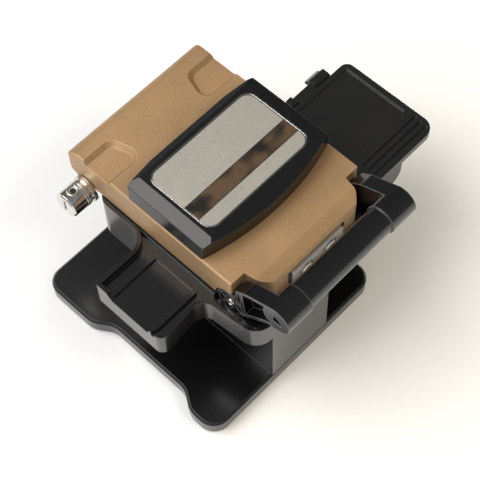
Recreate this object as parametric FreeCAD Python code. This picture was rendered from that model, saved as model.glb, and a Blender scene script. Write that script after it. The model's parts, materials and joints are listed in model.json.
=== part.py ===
import FreeCAD, Part
import math
import os

Vector = FreeCAD.Vector

# Fibre cleaver, millimetres. X is the fibre's direction, Y runs from the bail to the lid's hinge,
# Z is up. x = 0 is the middle plane of the lid, z = 0 is the table.

# Clearances
RUN = 0.05               # radial play of a pin in its bore
GAP = 0.3                # play between faces that pass each other

# Base plate and pedestal
BASE_X = (-54.5, 26.9)
BASE_Y = (-47.4, 37.0)
BASE_Z = (1.0, 6.5)
BASE_CORNER = 6.5
BASE_CHAMFER = 0.8
GRIP_X = -49.9           # bottom of the finger recess in the left edge
GRIP_Y = (-35.5, 12.5)
GRIP_SLOPE = 6.5         # length of the recess's slanted ends
GRIP_R = 9.0
PEDESTAL_X = (-25.8, 1.5)
PEDESTAL_WIDE_X = 21.5   # right face behind the front step
PEDESTAL_STEP_Y = -28.0
PEDESTAL_REAR_Y = 22.0
FOOT_R = 4.0
FOOT_SOCKET_Z = 2.6
FOOT_INSET = 8.0

# Deck: the shelf on top of the pedestal, with the fibre-holder tray
DECK_FRONT_X = 32.8
DECK_REAR_X = 31.8
DECK_Y = (-47.5, 27.8)
DECK_Z = (36.4, 47.0)
DECK_FRONT_R = 7.0
DECK_REAR_R = 5.0
SKIRT_FRONT_Y = -2.0     # the deck's walls reach lower behind this
SKIRT_Z = 28.0
DECK_FLOOR_Z = 44.0
DECK_PLATE_Z = 46.4
RIM = 1.4
TRAY_X = -54.5
TRAY_Y = (-26.3, 4.2)
TRAY_FLOOR_Z = 43.4
TRAY_SEAT_Y = (-19.8, -2.4)
TRAY_MOUTH_Z = 44.4
LEDGE_Z = (45.6, 44.5)   # top of the front and the rear ledge beside the seat
GROOVE_Y = (-22.8, -21.4)

# Lid
LID_HALF = 30.0
LID_Y = (-42.2, 42.5)
LID_Z = (47.7, 60.5)
LID_WALL = 2.5
LID_CEILING_Z = 57.0
NOTCH_X = 23.7           # the bail's arms stand in two notches outside this
NOTCH_Y = -33.3
THUMB_FLOOR_Z = 58.8
THUMB_Y = (20.9, 33.9)
THUMB_X = (-14.0, -17.6)  # inner corners, front and rear
THUMB_SLOPE = 1.6        # run of the recess's slanted walls
HINGE_Y = 33.6
HINGE_Z = 45.0
HINGE_PIN_R = 2.0
KNUCKLE_R = 4.5
EAR_X = (24.4, 27.9)     # hinge ears inside the lid's walls
EAR_R = 3.9
BRACKET_HALF = 24.0
BRACKET_Z = (37.5, 46.6)
BRACKET_T = 2.0
BRACKET_SCREW_X = (-10.0, 10.0)
BRACKET_SCREW_R = 1.5
BRACKET_SCREW_Z = 39.8
BRACKET_HEAD_R = 2.3
BRACKET_HEAD_T = 1.2
SPRING_R = 3.3
SPRING_HALF = 15.5
KNOB_X = (-40.6, -30.4)
KNOB_R = 4.9
SET_SCREW_R = 2.2
SET_SCREW_X = -36.4
SET_SOCKET_R = 1.1
SHAFT_END_X = -37.0

# Boss on the lid: the foot's outline, the crease where its walls end, and the flat top
BOSS_HALF = 29.6
BOSS_Y = (-20.5, 12.8)
BOSS_BULGE_Y = -25.0     # middle of the curved front edge
BOSS_KINK = (17.0, 14.5)  # where the rear edge's slanted ends begin
BOSS_CREASE_HALF = 29.1
BOSS_CREASE_Z = 66.8
BOSS_TOP_HALF = 24.7
BOSS_TOP_Y = (-20.2, 11.8)
BOSS_TOP_Z = 68.3
BOSS_FRONT_FALL = 0.36   # drop of the front shoulder per millimetre forward
PLATE_HALF = 23.6
PLATE_Y = (-19.0, 10.4)
PLATE_DEPTH = 0.4

# Catch plate on the lid's front
CATCH_HALF = 12.0
CATCH_Z = (44.6, 56.0)
CATCH_T = 1.0
CATCH_SCREW_X = (-5.6, 5.6)
CATCH_SCREW_Z = 52.0
CATCH_SCREW_R = 1.2
CATCH_HEAD_R = 2.9
CATCH_HEAD_T = 1.1
CATCH_SOCKET_R = 1.5
MAGNET_HALF = 8.0
MAGNET_REAR_Y = -38.8
MAGNET_TOP_Z = 47.2

# Bail handle
BAIL_Y = -32.7
BAIL_Z = 47.5
BAIL_OUTER = 29.7
BAIL_INNER = 24.4
BAIL_HUB_R = 6.0
BAIL_BAR_Y = -52.3
BAIL_BAR_Z = 62.0
BAIL_BAR_R = 4.9
BAIL_COLLAR_R = 5.5
BAIL_COLLAR_W = 5.5
ARM_FLANGE = 1.2
ARM_POCKET = 3.6
PIVOT_R = 2.0
POST_X = (16.8, 20.8)    # posts that hold the pivot screws
POST_R = 4.0
PIVOT_HEAD_R = 3.4
PIVOT_HEAD_T = 1.2
PIVOT_SOCKET_R = 1.3
HUB_RING_R = 4.8

# Fibre line, clamps and blade
FIBRE_Y = -11.0
FIBRE_Z = 47.2
CLAMP_X = (11.0, 17.0)
CLAMP_Y = (-18.0, -4.0)
PAD_MARGIN = 1.0         # a pad's distance from the sides of its clamp
PAD_SEAT_Z = 45.6
LOWER_PAD_Z = FIBRE_Z - 0.1
UPPER_PAD_Z = (FIBRE_Z + 0.3, 49.0)
UPPER_CLAMP_TAPER_Z = 52.0
UPPER_CLAMP_TIP_HALF = 2.4
WHEEL_R = 8.0
WHEEL_T = 1.2
WHEEL_Z = 39.1
WHEEL_BEVEL = 1.2
WHEEL_EDGE = 0.1
AXLE_R = 1.5
AXLE_HEAD_R = 2.8
AXLE_NUT_R = 2.2
CARRIAGE_HALF_X = 9.3
CARRIAGE_Y = (-11.0, 5.0)
CARRIAGE_Z = (19.0, 30.0)
CHEEK_HALF_X = 4.2       # outside of the two cheeks that hold the blade
CHEEK_GAP_HALF = 1.4
CHEEK_TOP_Z = 42.8
CAVITY_HALF_X = 10.0
CAVITY_Y = (-24.6, 8.0)
CAVITY_Z = 18.0
ROD_X = 7.0
ROD_Z = 26.0
ROD_R = 2.0
ROD_Y = (-26.6, 11.0)
PUSH_Z = 22.0
PUSH_R = 2.0
BUTTON_Y = (36.6, 39.8)
BUTTON_R = 5.0
ROLLER_X = 24.4
ROLLER_R = 2.4
ROLLER_HALF = 3.2
ROLLER_PIN_R = 0.8
ROLLER_PIN_HALF = 4.6
CHEEK_R = 1.8            # half width of the rollers' yokes
CHEEK_T = 1.2
CHEEK_INNER = 3.6
LOWER_ROLLER_Z = 44.7
UPPER_ROLLER_Z = 49.8
ROLLER_BAY_Z = 41.5
ROLLER_BAY_HALF = (3.0, 5.0)
ANVIL_STEM_R = 1.5
ANVIL_SPRING_R = (1.9, 2.9)
ANVIL_GUIDE_Z = 54.0

# Scrap bin
BIN_X = (33.2, 52.8)
BIN_Y = (-35.0, 3.4)
BIN_Z = (29.0, 43.9)
BIN_WALL = 2.0
COVER_X = (33.2, 67.0)
COVER_Y = (-37.2, 3.6)
COVER_Z = (44.0, 47.0)
COVER_PANEL_X = (35.0, 64.2)
COVER_PANEL_Y = (-25.3, 1.6)
COVER_PANEL_DEPTH = 0.5
COVER_GROOVE_X = 38.0
COVER_GROOVE_Y = (-34.6, -32.0, -29.4)
COVER_GROOVE_DEPTH = 0.8
BIN_HINGE_Y = 5.6
BIN_HINGE_Z = 45.2
BIN_PIN_Y = (-29.0, -3.0)
BIN_PIN_Z = 40.0
BIN_KNUCKLE_R = 1.7
BIN_BOSS_R = 3.6
BIN_BOSS_DEPTH = 10.5
BIN_PIN_REACH = 9.0      # how far a pin stands inside the bin's boss
BIN_SHAFT_END_X = 54.0
BIN_EAR_X = ((40.0, 42.4), (51.4, 59.0))
BIN_STRAP_X = (42.7, 51.1)
BIN_HINGE_PIN_R = 0.8


def box(x, y, z):
    return Part.makeBox(x[1] - x[0], y[1] - y[0], z[1] - z[0], Vector(x[0], y[0], z[0]))


def rod_x(radius, x, y, z):
    return Part.makeCylinder(radius, x[1] - x[0], Vector(x[0], y, z), Vector(1, 0, 0))


def rod_y(radius, x, y, z):
    return Part.makeCylinder(radius, y[1] - y[0], Vector(x, y[0], z), Vector(0, 1, 0))


def rod_z(radius, x, y, z):
    return Part.makeCylinder(radius, z[1] - z[0], Vector(x, y, z[0]))


def rounded_wire(corners):
    """Closed wire through (Vector, radius) corners, each one turned by a tangent arc."""
    runs = []
    count = len(corners)
    for i, (point, radius) in enumerate(corners):
        back = (corners[i - 1][0] - point).normalize()
        ahead = (corners[(i + 1) % count][0] - point).normalize()
        half = back.getAngle(ahead) / 2
        reach = radius / math.tan(half)
        bisector = (back + ahead).normalize()
        middle = point + bisector * (radius / math.sin(half) - radius)
        runs.append((point + back * reach, middle, point + ahead * reach))
    edges = []
    for i, (start, middle, end) in enumerate(runs):
        if start.distanceToPoint(end) > 1e-6:
            edges.append(Part.Arc(start, middle, end).toShape())
        edges.append(Part.makeLine(end, runs[(i + 1) % count][0]))
    return Part.Wire(edges)


def plan(corners, z):
    """Prism along Z on (x, y, radius) corners."""
    wire = rounded_wire([(Vector(x, y, z[0]), r) for x, y, r in corners])
    return Part.Face(wire).extrude(Vector(0, 0, z[1] - z[0]))


def side(corners, x):
    """Prism along X on (y, z, radius) corners."""
    wire = rounded_wire([(Vector(x[0], y, z), r) for y, z, r in corners])
    return Part.Face(wire).extrude(Vector(x[1] - x[0], 0, 0))


def front(corners, y):
    """Prism along Y on (x, z, radius) corners."""
    wire = rounded_wire([(Vector(x, y[0], z), r) for x, z, r in corners])
    return Part.Face(wire).extrude(Vector(0, y[1] - y[0], 0))


def rounded_box(x, y, z, radius):
    corners = [(x[0], y[0], radius), (x[1], y[0], radius), (x[1], y[1], radius), (x[0], y[1], radius)]
    return plan(corners, z)


def mirrored(shape):
    return shape.mirror(Vector(0, 0, 0), Vector(1, 0, 0))


def pair(shape):
    return [shape, mirrored(shape)]


def join(first, *rest):
    return first.multiFuse(list(rest)).removeSplitter()


def body_casting():
    left, right = BASE_X
    low, high = GRIP_Y
    outline = [(right, BASE_Y[0], BASE_CORNER), (right, BASE_Y[1], BASE_CORNER),
               (left, BASE_Y[1], BASE_CORNER), (left, high, GRIP_R), (GRIP_X, high - GRIP_SLOPE, GRIP_R),
               (GRIP_X, low + GRIP_SLOPE, GRIP_R), (left, low, GRIP_R), (left, BASE_Y[0], BASE_CORNER)]
    base = plan(outline, BASE_Z)
    base = base.makeChamfer(BASE_CHAMFER, top_edges(base, BASE_Z[1]))
    pedestal = box(PEDESTAL_X, (BASE_Y[0], PEDESTAL_REAR_Y), (BASE_Z[1], DECK_Z[0]))
    wide = box((PEDESTAL_X[0], PEDESTAL_WIDE_X), (PEDESTAL_STEP_Y, PEDESTAL_REAR_Y),
               (BASE_Z[1], DECK_Z[0]))
    skirt = rounded_box((-DECK_REAR_X, DECK_REAR_X), (SKIRT_FRONT_Y, DECK_Y[1]), (SKIRT_Z, DECK_Z[0]),
                        DECK_REAR_R)
    body = join(base, pedestal, wide, skirt, deck_block())
    body = body.cut(Part.Compound(deck_recesses() + tray_recesses() + inner_bores()))
    return join(body, *bail_posts())


def top_edges(shape, z):
    return [edge for edge in shape.Edges
            if abs(edge.BoundBox.ZMin - z) < 0.01 and abs(edge.BoundBox.ZMax - z) < 0.01]


def deck_face(z):
    """Deck and cantilevered tray in one outline, with hollow fillets where they meet."""
    front_y, rear_y = DECK_Y
    tray_front, tray_rear = TRAY_Y
    corners = [(DECK_FRONT_X, front_y, DECK_FRONT_R), (DECK_REAR_X, rear_y, DECK_REAR_R),
               (-DECK_REAR_X, rear_y, DECK_REAR_R), (-DECK_REAR_X, tray_rear, 6.5),
               (TRAY_X, tray_rear, 1.2), (TRAY_X, tray_front, 3),
               (-DECK_FRONT_X - 2, tray_front + 1.7, 4.5), (-DECK_FRONT_X, front_y, DECK_FRONT_R)]
    return Part.Face(rounded_wire([(Vector(x, y, z), r) for x, y, r in corners]))


def deck_block():
    return deck_face(DECK_Z[0]).extrude(Vector(0, 0, DECK_Z[1] - DECK_Z[0]))


def deck_plate_outline(inset, z):
    front_x, front_y, front_r = DECK_FRONT_X - inset, DECK_Y[0] + inset, DECK_FRONT_R - inset
    rear_x, rear_y, rear_r = DECK_REAR_X - inset, DECK_Y[1] - inset, DECK_REAR_R - inset
    corners = [(front_x, front_y, front_r), (rear_x, rear_y, rear_r), (-rear_x, rear_y, rear_r),
               (-front_x, front_y, front_r)]
    return plan(corners, z)


def hub_pocket(margin, z):
    """Room for the bail's hub in the deck's front left corner."""
    reach = BAIL_HUB_R + margin
    return box((-BAIL_OUTER - margin, -BAIL_INNER + margin), (BAIL_Y - reach, BAIL_Y + reach), z)


def deck_recesses():
    """The hollow inside the thin rim, deeper where the hubs and the lower roller stand."""
    hollow = deck_face(DECK_FLOOR_Z).makeOffset2D(-RIM).extrude(Vector(0, 0, 5))
    hollow = hollow.cut(Part.Compound(tray_ledges()))
    hubs = pair(hub_pocket(GAP, (BAIL_Z - BAIL_HUB_R - GAP, DECK_Z[1] + 1)))
    return [hollow, roller_bay((ROLLER_BAY_Z, DECK_Z[1]))] + hubs


def roller_bay(z):
    """Room for the lower roller and its yoke."""
    half_x, half_y = ROLLER_BAY_HALF
    return box((ROLLER_X - half_x, ROLLER_X + half_x), (FIBRE_Y - half_y, FIBRE_Y + half_y), z)


def tray_ledges():
    """Low ledges that flank the fibre holder's seat, and the sill towards the lid."""
    x = (TRAY_X, -DECK_FRONT_X - 1.0)
    front_ledge = box(x, (TRAY_Y[0], TRAY_SEAT_Y[0]), (DECK_FLOOR_Z - 1, LEDGE_Z[0]))
    rear_ledge = box(x, (TRAY_SEAT_Y[1], TRAY_Y[1]), (DECK_FLOOR_Z - 1, LEDGE_Z[1]))
    groove = box((TRAY_X - 1, x[1] + 1), GROOVE_Y, (DECK_FLOOR_Z, DECK_Z[1] + 1))
    return [front_ledge.cut(groove), rear_ledge]


def tray_recesses():
    """Seat for the fibre holder, open at the tray's outer end, and the groove beside it."""
    seat = box((TRAY_X + RIM, -DECK_FRONT_X - 1.0), TRAY_SEAT_Y, (TRAY_FLOOR_Z, DECK_Z[1] + 1))
    low, high = TRAY_SEAT_Y
    above = DECK_Z[1] + 2
    wall = (TRAY_X - 1, TRAY_X + RIM + 0.1)
    mouth = side([(low - 1.0, above, 0), (low - 0.2, TRAY_MOUTH_Z + 0.8, 1), (low + 1.2, TRAY_MOUTH_Z, 1),
                  (high - 1.0, TRAY_MOUTH_Z, 1), (high + 0.8, TRAY_MOUTH_Z + 1.8, 1),
                  (high + 1.6, above, 0)], wall)
    notch = box(wall, GROOVE_Y, (TRAY_MOUTH_Z + 0.8, above))
    return [seat, mouth, notch]


def inner_bores():
    """Blade cavity, push-rod bore, guide-rod seats, foot sockets and bores for the fixed pins."""
    cavity = box((-CAVITY_HALF_X, CAVITY_HALF_X), CAVITY_Y, (CAVITY_Z, DECK_FLOOR_Z + 1))
    bores = [cavity, rod_y(PUSH_R + RUN, 0, (CAVITY_Y[1] - 1, DECK_Y[1] + 1), PUSH_Z)]
    for x in (-ROD_X, ROD_X):
        bores.append(rod_y(ROD_R, x, ROD_Y, ROD_Z))
    for x, y in foot_places():
        bores.append(rod_z(FOOT_R, x, y, (0, FOOT_SOCKET_Z)))
    for y in BIN_PIN_Y:
        bores.append(rod_x(ROD_R, (DECK_REAR_X - 5, DECK_FRONT_X + 2), y, BIN_PIN_Z))
    return bores


def bail_posts():
    """Two ears on the deck floor, bored for the pivot screws."""
    ear = join(rod_x(POST_R, POST_X, BAIL_Y, BAIL_Z),
               box(POST_X, (BAIL_Y - POST_R, BAIL_Y + POST_R), (DECK_FLOOR_Z - 1, BAIL_Z)))
    ear = ear.cut(rod_x(PIVOT_R, (POST_X[0] - 1, POST_X[1] + 1), BAIL_Y, BAIL_Z))
    return pair(ear)


def foot_places():
    places = []
    for x in (BASE_X[0] + FOOT_INSET, BASE_X[1] - FOOT_INSET):
        for y in (BASE_Y[0] + FOOT_INSET, BASE_Y[1] - FOOT_INSET):
            places.append((x, y))
    return places


def foot(x, y):
    return rod_z(FOOT_R, x, y, (0, FOOT_SOCKET_Z))


def deck_plate():
    plate = deck_plate_outline(RIM + 0.2, (DECK_FLOOR_Z, DECK_PLATE_Z))
    through = (DECK_FLOOR_Z - 1, DECK_PLATE_Z + 1)
    slot = rounded_box((-2.2, 2.2), (CAVITY_Y[0] - 0.4, CAVITY_Y[1] - 1), through, 2)
    magnet_bay = box((-13, 13), (-50, -38.6), through)
    seats = [box((x[0] - 0.2, x[1] + 0.2), (CLAMP_Y[0] - 0.2, CLAMP_Y[1] + 0.2), through)
             for x in (CLAMP_X, (-CLAMP_X[1], -CLAMP_X[0]))]
    ears = pair(box((POST_X[0] - GAP, BAIL_INNER), (BAIL_Y - POST_R - GAP, BAIL_Y + POST_R + GAP), through))
    arm_bays = pair(box((BAIL_INNER - GAP, DECK_FRONT_X), (DECK_Y[0], BAIL_Y + BAIL_HUB_R + GAP), through))
    return plate.cut(Part.Compound([slot, magnet_bay, roller_bay(through)] + seats + ears + arm_bays))


def guide_rod(x):
    return rod_y(ROD_R, x, ROD_Y, ROD_Z)


def clamp_block(x):
    """Lower clamp: a steel block with a seat for its rubber pad."""
    block = box(x, CLAMP_Y, (DECK_FLOOR_Z, DECK_PLATE_Z))
    return block.cut(pad(x, (PAD_SEAT_Z, DECK_PLATE_Z + 1)))


def pad(x, z):
    """Rubber pad set in from the sides of the clamp between x[0] and x[1]."""
    return box((x[0] + PAD_MARGIN, x[1] - PAD_MARGIN), (CLAMP_Y[0] + PAD_MARGIN, CLAMP_Y[1] - PAD_MARGIN), z)


def upper_clamp(x):
    """Clamp arm that hangs from the lid's ceiling, tapered towards the pad."""
    middle = (x[0] + x[1]) / 2
    tip_z = UPPER_PAD_Z[1]
    return front([(x[0], LID_CEILING_Z, 0), (x[0], UPPER_CLAMP_TAPER_Z, 0.8),
                  (middle - UPPER_CLAMP_TIP_HALF, tip_z, 0.6), (middle + UPPER_CLAMP_TIP_HALF, tip_z, 0.6),
                  (x[1], UPPER_CLAMP_TAPER_Z, 0.8), (x[1], LID_CEILING_Z, 0)], CLAMP_Y)


def anvil():
    """Bending anvil over the blade: a foot on a guide stem."""
    pad = front([(-3.5, 51, 0.5), (-1.5, 47.6, 0.3), (1.5, 47.6, 0.3), (3.5, 51, 0.5)],
                (FIBRE_Y - 4, FIBRE_Y + 4))
    return join(pad, rod_z(ANVIL_STEM_R, 0, FIBRE_Y, (50, 55.5)))


def anvil_spring():
    outer = rod_z(ANVIL_SPRING_R[1], 0, FIBRE_Y, (51.05, ANVIL_GUIDE_Z))
    return outer.cut(rod_z(ANVIL_SPRING_R[0], 0, FIBRE_Y, (51, ANVIL_GUIDE_Z + 1)))


def anvil_guide():
    """Plate under the lid's ceiling, bored for the anvil's stem."""
    plate = rounded_box((-5, 5), (FIBRE_Y - 5, FIBRE_Y + 5), (ANVIL_GUIDE_Z, LID_CEILING_Z), 2)
    return plate.cut(rod_z(ANVIL_STEM_R + RUN, 0, FIBRE_Y, (ANVIL_GUIDE_Z - 1, 56.8)))


def roller(z):
    """Rubber roller on its own steel pin."""
    body = rod_y(ROLLER_R, ROLLER_X, (FIBRE_Y - ROLLER_HALF, FIBRE_Y + ROLLER_HALF), z)
    pin = rod_y(ROLLER_PIN_R, ROLLER_X, (FIBRE_Y - ROLLER_PIN_HALF, FIBRE_Y + ROLLER_PIN_HALF), z)
    return join(body, pin)


def roller_yoke(z, seat_z):
    """Two cheeks and a bridge that carry a roller's pin."""
    low, high = min(z, seat_z), max(z, seat_z)
    x = (ROLLER_X - CHEEK_R, ROLLER_X + CHEEK_R)
    outer = CHEEK_INNER + CHEEK_T
    cheeks = []
    for y in (FIBRE_Y - outer, FIBRE_Y + CHEEK_INNER):
        cheeks.append(box(x, (y, y + CHEEK_T), (low, high)))
        cheeks.append(rod_y(CHEEK_R, ROLLER_X, (y, y + CHEEK_T), z))
    bridge_z = sorted((seat_z, seat_z + math.copysign(0.8, z - seat_z)))
    cheeks.append(box(x, (FIBRE_Y - outer, FIBRE_Y + outer), bridge_z))
    yoke = join(*cheeks)
    return yoke.cut(rod_y(ROLLER_PIN_R + RUN, ROLLER_X, (FIBRE_Y - 6, FIBRE_Y + 6), z))


def carriage():
    """Block on the two guide rods, with two cheeks for the blade's axle."""
    mid_y = sum(CARRIAGE_Y) / 2
    block = rounded_box((-CARRIAGE_HALF_X, CARRIAGE_HALF_X), CARRIAGE_Y, CARRIAGE_Z, 1)
    cheek_side = side([(mid_y - 7, CARRIAGE_Z[1] - 1, 0), (mid_y + 7, CARRIAGE_Z[1] - 1, 0),
                       (mid_y + 4, CHEEK_TOP_Z, 3), (mid_y - 4, CHEEK_TOP_Z, 3)],
                      (-CHEEK_HALF_X, CHEEK_HALF_X))
    whole = join(block, cheek_side)
    gap = box((-CHEEK_GAP_HALF, CHEEK_GAP_HALF), (CARRIAGE_Y[0] - 1, CARRIAGE_Y[1] + 1),
              (CARRIAGE_Z[1] - 2, CHEEK_TOP_Z + 1))
    bores = [gap, rod_x(AXLE_R, (-6, 6), mid_y, WHEEL_Z)]
    for x in (-ROD_X, ROD_X):
        bores.append(rod_y(ROD_R + RUN, x, (CARRIAGE_Y[0] - 1, CARRIAGE_Y[1] + 1), ROD_Z))
    return whole.cut(Part.Compound(bores))


def blade_wheel():
    """Disc blade with a bevelled rim and a bore for the axle."""
    half = WHEEL_T / 2
    profile = [(-half, AXLE_R + RUN), (half, AXLE_R + RUN), (half, WHEEL_R - WHEEL_BEVEL),
               (WHEEL_EDGE, WHEEL_R), (-WHEEL_EDGE, WHEEL_R), (-half, WHEEL_R - WHEEL_BEVEL)]
    points = [Vector(x, 0, r) for x, r in profile]
    disc = Part.Face(Part.makePolygon(points + points[:1])).revolve(Vector(0, 0, 0), Vector(1, 0, 0), 360)
    disc.translate(Vector(0, sum(CARRIAGE_Y) / 2, WHEEL_Z))
    return disc


def blade_axle():
    mid_y = sum(CARRIAGE_Y) / 2
    shank = rod_x(AXLE_R, (-CHEEK_HALF_X, CHEEK_HALF_X), mid_y, WHEEL_Z)
    head = rod_x(AXLE_HEAD_R, (-CHEEK_HALF_X - 1.4, -CHEEK_HALF_X), mid_y, WHEEL_Z)
    nut = rod_x(AXLE_NUT_R, (CHEEK_HALF_X, CHEEK_HALF_X + 1.2), mid_y, WHEEL_Z)
    return join(shank, head, nut)


def push_rod():
    """Rod that drives the carriage through the pedestal's rear wall, with its button."""
    rod = rod_y(PUSH_R, 0, (CARRIAGE_Y[1], BUTTON_Y[0] + 1), PUSH_Z)
    button = rod_y(BUTTON_R, 0, BUTTON_Y, PUSH_Z)
    button = button.makeChamfer(0.7, [e for e in button.Edges if e.BoundBox.YMin > BUTTON_Y[1] - 0.1])
    return join(rod, button)


def lid_outline(z):
    corner_y = LID_Y[0]
    right = [(19.2, corner_y, 2), (22.9, corner_y + 3.6, 4), (NOTCH_X, NOTCH_Y, 0.6),
             (LID_HALF, NOTCH_Y, 0.8), (LID_HALF, LID_Y[1], 1.6)]
    left = [(-x, y, r) for x, y, r in reversed(right)]
    return plan(right + left, z)


def lid_skin():
    """Outer form: the plan, cut by a cross-section with broken top edges and a side profile."""
    low, high = LID_Z
    flank = [(-LID_HALF, low, 0), (LID_HALF, low, 0), (LID_HALF, high - 0.5, 0),
             (LID_HALF - 0.5, high, 0), (0.5 - LID_HALF, high, 0), (-LID_HALF, high - 0.5, 0)]
    front_y, rear_y = LID_Y
    profile = [(front_y, low, 0), (rear_y - 2.5, low, 2.5), (rear_y, low + 3, 2.5), (rear_y, high, 6),
               (front_y + 4.7, high, 3), (front_y, high - 1.3, 0.6)]
    skin = lid_outline(LID_Z)
    skin = skin.common(front(flank, (front_y - 1, rear_y + 1)))
    return skin.common(side(profile, (-LID_HALF - 2, LID_HALF + 2)))


def thumb_outline(inset, z):
    """Closed wire of the recess at the lid's rear corner on the -X side, open past the flank."""
    front_y, rear_y = THUMB_Y[0] + inset, THUMB_Y[1] - inset
    outside = -LID_HALF - 3
    radius = 4.2 - inset
    corners = [(outside, front_y, 0), (THUMB_X[0] - inset, front_y, radius),
               (THUMB_X[1] - inset, rear_y, radius), (outside, rear_y, 0)]
    return rounded_wire([(Vector(x, y, z), r) for x, y, r in corners])


def thumb_recess():
    """Shallow recess whose walls slant down to a flat floor."""
    return Part.makeLoft([thumb_outline(THUMB_SLOPE, THUMB_FLOOR_Z), thumb_outline(0, LID_Z[1])], True, True)


def lid_shell():
    inside = join(box((-LID_HALF + LID_WALL, LID_HALF - LID_WALL), (NOTCH_Y + LID_WALL, LID_Y[1] - LID_WALL),
                      (LID_Z[0] - 1, LID_CEILING_Z)),
                  box((-NOTCH_X + LID_WALL, NOTCH_X - LID_WALL), (LID_Y[0] + LID_WALL, 0),
                      (LID_Z[0] - 1, LID_CEILING_Z)))
    corner = box((NOTCH_X - LID_WALL - 2.2, NOTCH_X), (LID_Y[0], LID_Y[0] + 5), (LID_Z[0] - 1, LID_Z[1]))
    shell = lid_skin().cut(inside.cut(Part.Compound(pair(corner))))
    shell = join(shell, *pair(lid_ear()))
    hub_room = rod_x(BAIL_HUB_R + 0.5, (BAIL_INNER - 0.6, LID_HALF + 1), BAIL_Y, BAIL_Z)
    slot = box((20.9, 26), (BAIL_Y - 2.6, BAIL_Y + 2.6), (LID_Z[0] - 1, BAIL_Z + 2.6))
    cuts = pair(thumb_recess()) + pair(hub_room) + pair(slot)
    cuts.append(rod_x(HINGE_PIN_R + RUN, (-LID_HALF, LID_HALF), HINGE_Y, HINGE_Z))
    return shell.cut(Part.Compound(cuts))


def lid_ear():
    """Hinge ear that hangs from the lid's ceiling inside the flank."""
    return join(rod_x(EAR_R, EAR_X, HINGE_Y, HINGE_Z),
                box(EAR_X, (HINGE_Y - EAR_R, HINGE_Y + EAR_R), (HINGE_Z, LID_CEILING_Z + 0.5)))


def boss_block():
    """Upright prism on the boss's foot, with its curved front and slanted rear corners."""
    floor_z = LID_Z[1]
    front_y, corner_y = BOSS_Y
    left = [(-BOSS_HALF, front_y), (-BOSS_HALF, corner_y), (-BOSS_KINK[0], BOSS_KINK[1])]
    right = [(-x, y) for x, y in reversed(left)]
    sides = Part.makePolygon([Vector(x, y, floor_z) for x, y in left + right])
    bulge = Part.Arc(Vector(BOSS_HALF, front_y, floor_z), Vector(0, BOSS_BULGE_Y, floor_z),
                     Vector(-BOSS_HALF, front_y, floor_z)).toShape()
    foot_face = Part.Face(Part.Wire(sides.Edges + [bulge]))
    block = foot_face.extrude(Vector(0, 0, BOSS_TOP_Z - floor_z))
    uprights = [e for e in block.Edges if e.BoundBox.ZLength > 5]
    return block.makeFillet(0.9, uprights)


def lid_boss():
    """Raised cover on the lid: walls, sloping shoulders, flat top with a plate recess."""
    low = LID_Z[1] - 1
    half = BOSS_HALF
    across = [(-half, low, 0), (half, low, 0), (half, LID_Z[1], 0), (BOSS_CREASE_HALF, BOSS_CREASE_Z, 0.4),
              (BOSS_TOP_HALF, BOSS_TOP_Z, 0.4)]
    across += [(-x, z, r) for x, z, r in reversed(across[2:])]
    front_y, rear_y = BOSS_TOP_Y
    fall = (BOSS_TOP_Z - BOSS_CREASE_Z) / (BOSS_KINK[1] - rear_y)
    reach = front_y - BOSS_BULGE_Y + 2
    along = [(front_y - reach, low, 0), (BOSS_KINK[1] + 1, low, 0),
             (BOSS_KINK[1] + 1, BOSS_CREASE_Z - fall, 0), (rear_y, BOSS_TOP_Z, 0.4),
             (front_y, BOSS_TOP_Z, 0.4), (front_y - reach, BOSS_TOP_Z - BOSS_FRONT_FALL * reach, 0)]
    block = boss_block().common(front(across, (front_y - reach, BOSS_KINK[1] + 1)))
    block = block.common(side(along, (-half - 1, half + 1)))
    recess = rounded_box((-PLATE_HALF, PLATE_HALF), PLATE_Y, (BOSS_TOP_Z - PLATE_DEPTH, BOSS_TOP_Z + 1), 4)
    return block.cut(recess)


def catch_plate():
    """Steel plate on the lid's front face; the magnet in the deck holds its lower edge."""
    y = (LID_Y[0] - CATCH_T, LID_Y[0])
    plate = front([(-CATCH_HALF, CATCH_Z[0], 1), (CATCH_HALF, CATCH_Z[0], 1), (CATCH_HALF, CATCH_Z[1], 1),
                   (-CATCH_HALF, CATCH_Z[1], 1)], y)
    holes = [rod_y(CATCH_SCREW_R, x, (y[0] - 1, y[1] + 1), CATCH_SCREW_Z) for x in CATCH_SCREW_X]
    return plate.cut(Part.Compound(holes))


def catch_screw(x):
    face = LID_Y[0] - CATCH_T
    head = rod_y(CATCH_HEAD_R, x, (face - CATCH_HEAD_T, face), CATCH_SCREW_Z)
    head = head.cut(rod_y(CATCH_SOCKET_R, x, (face - CATCH_HEAD_T - 1, face - 0.5), CATCH_SCREW_Z))
    return join(head, rod_y(CATCH_SCREW_R, x, (face, LID_Y[0]), CATCH_SCREW_Z))


def latch_magnet():
    return rounded_box((-MAGNET_HALF, MAGNET_HALF), (LID_Y[0] + GAP, MAGNET_REAR_Y),
                       (DECK_FLOOR_Z, MAGNET_TOP_Z), 0.6)


def hinge_bracket():
    """Plate on the deck's rear wall with two knuckles that carry the hinge shaft."""
    y = DECK_Y[1]
    plate = box((-BRACKET_HALF, BRACKET_HALF), (y, y + BRACKET_T), BRACKET_Z)
    arms = []
    for x in ((-BRACKET_HALF, 8 - BRACKET_HALF), (BRACKET_HALF - 8, BRACKET_HALF)):
        arms.append(rod_x(KNUCKLE_R, x, HINGE_Y, HINGE_Z))
        arms.append(box(x, (y, HINGE_Y), (HINGE_Z - KNUCKLE_R, HINGE_Z + 1.6)))
    bores = [rod_x(HINGE_PIN_R, (-30, 30), HINGE_Y, HINGE_Z)]
    for x in BRACKET_SCREW_X:
        bores.append(rod_y(BRACKET_SCREW_R, x, (y - 1, y + BRACKET_T + 1), BRACKET_SCREW_Z))
    return join(plate, *arms).cut(Part.Compound(bores))


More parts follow.
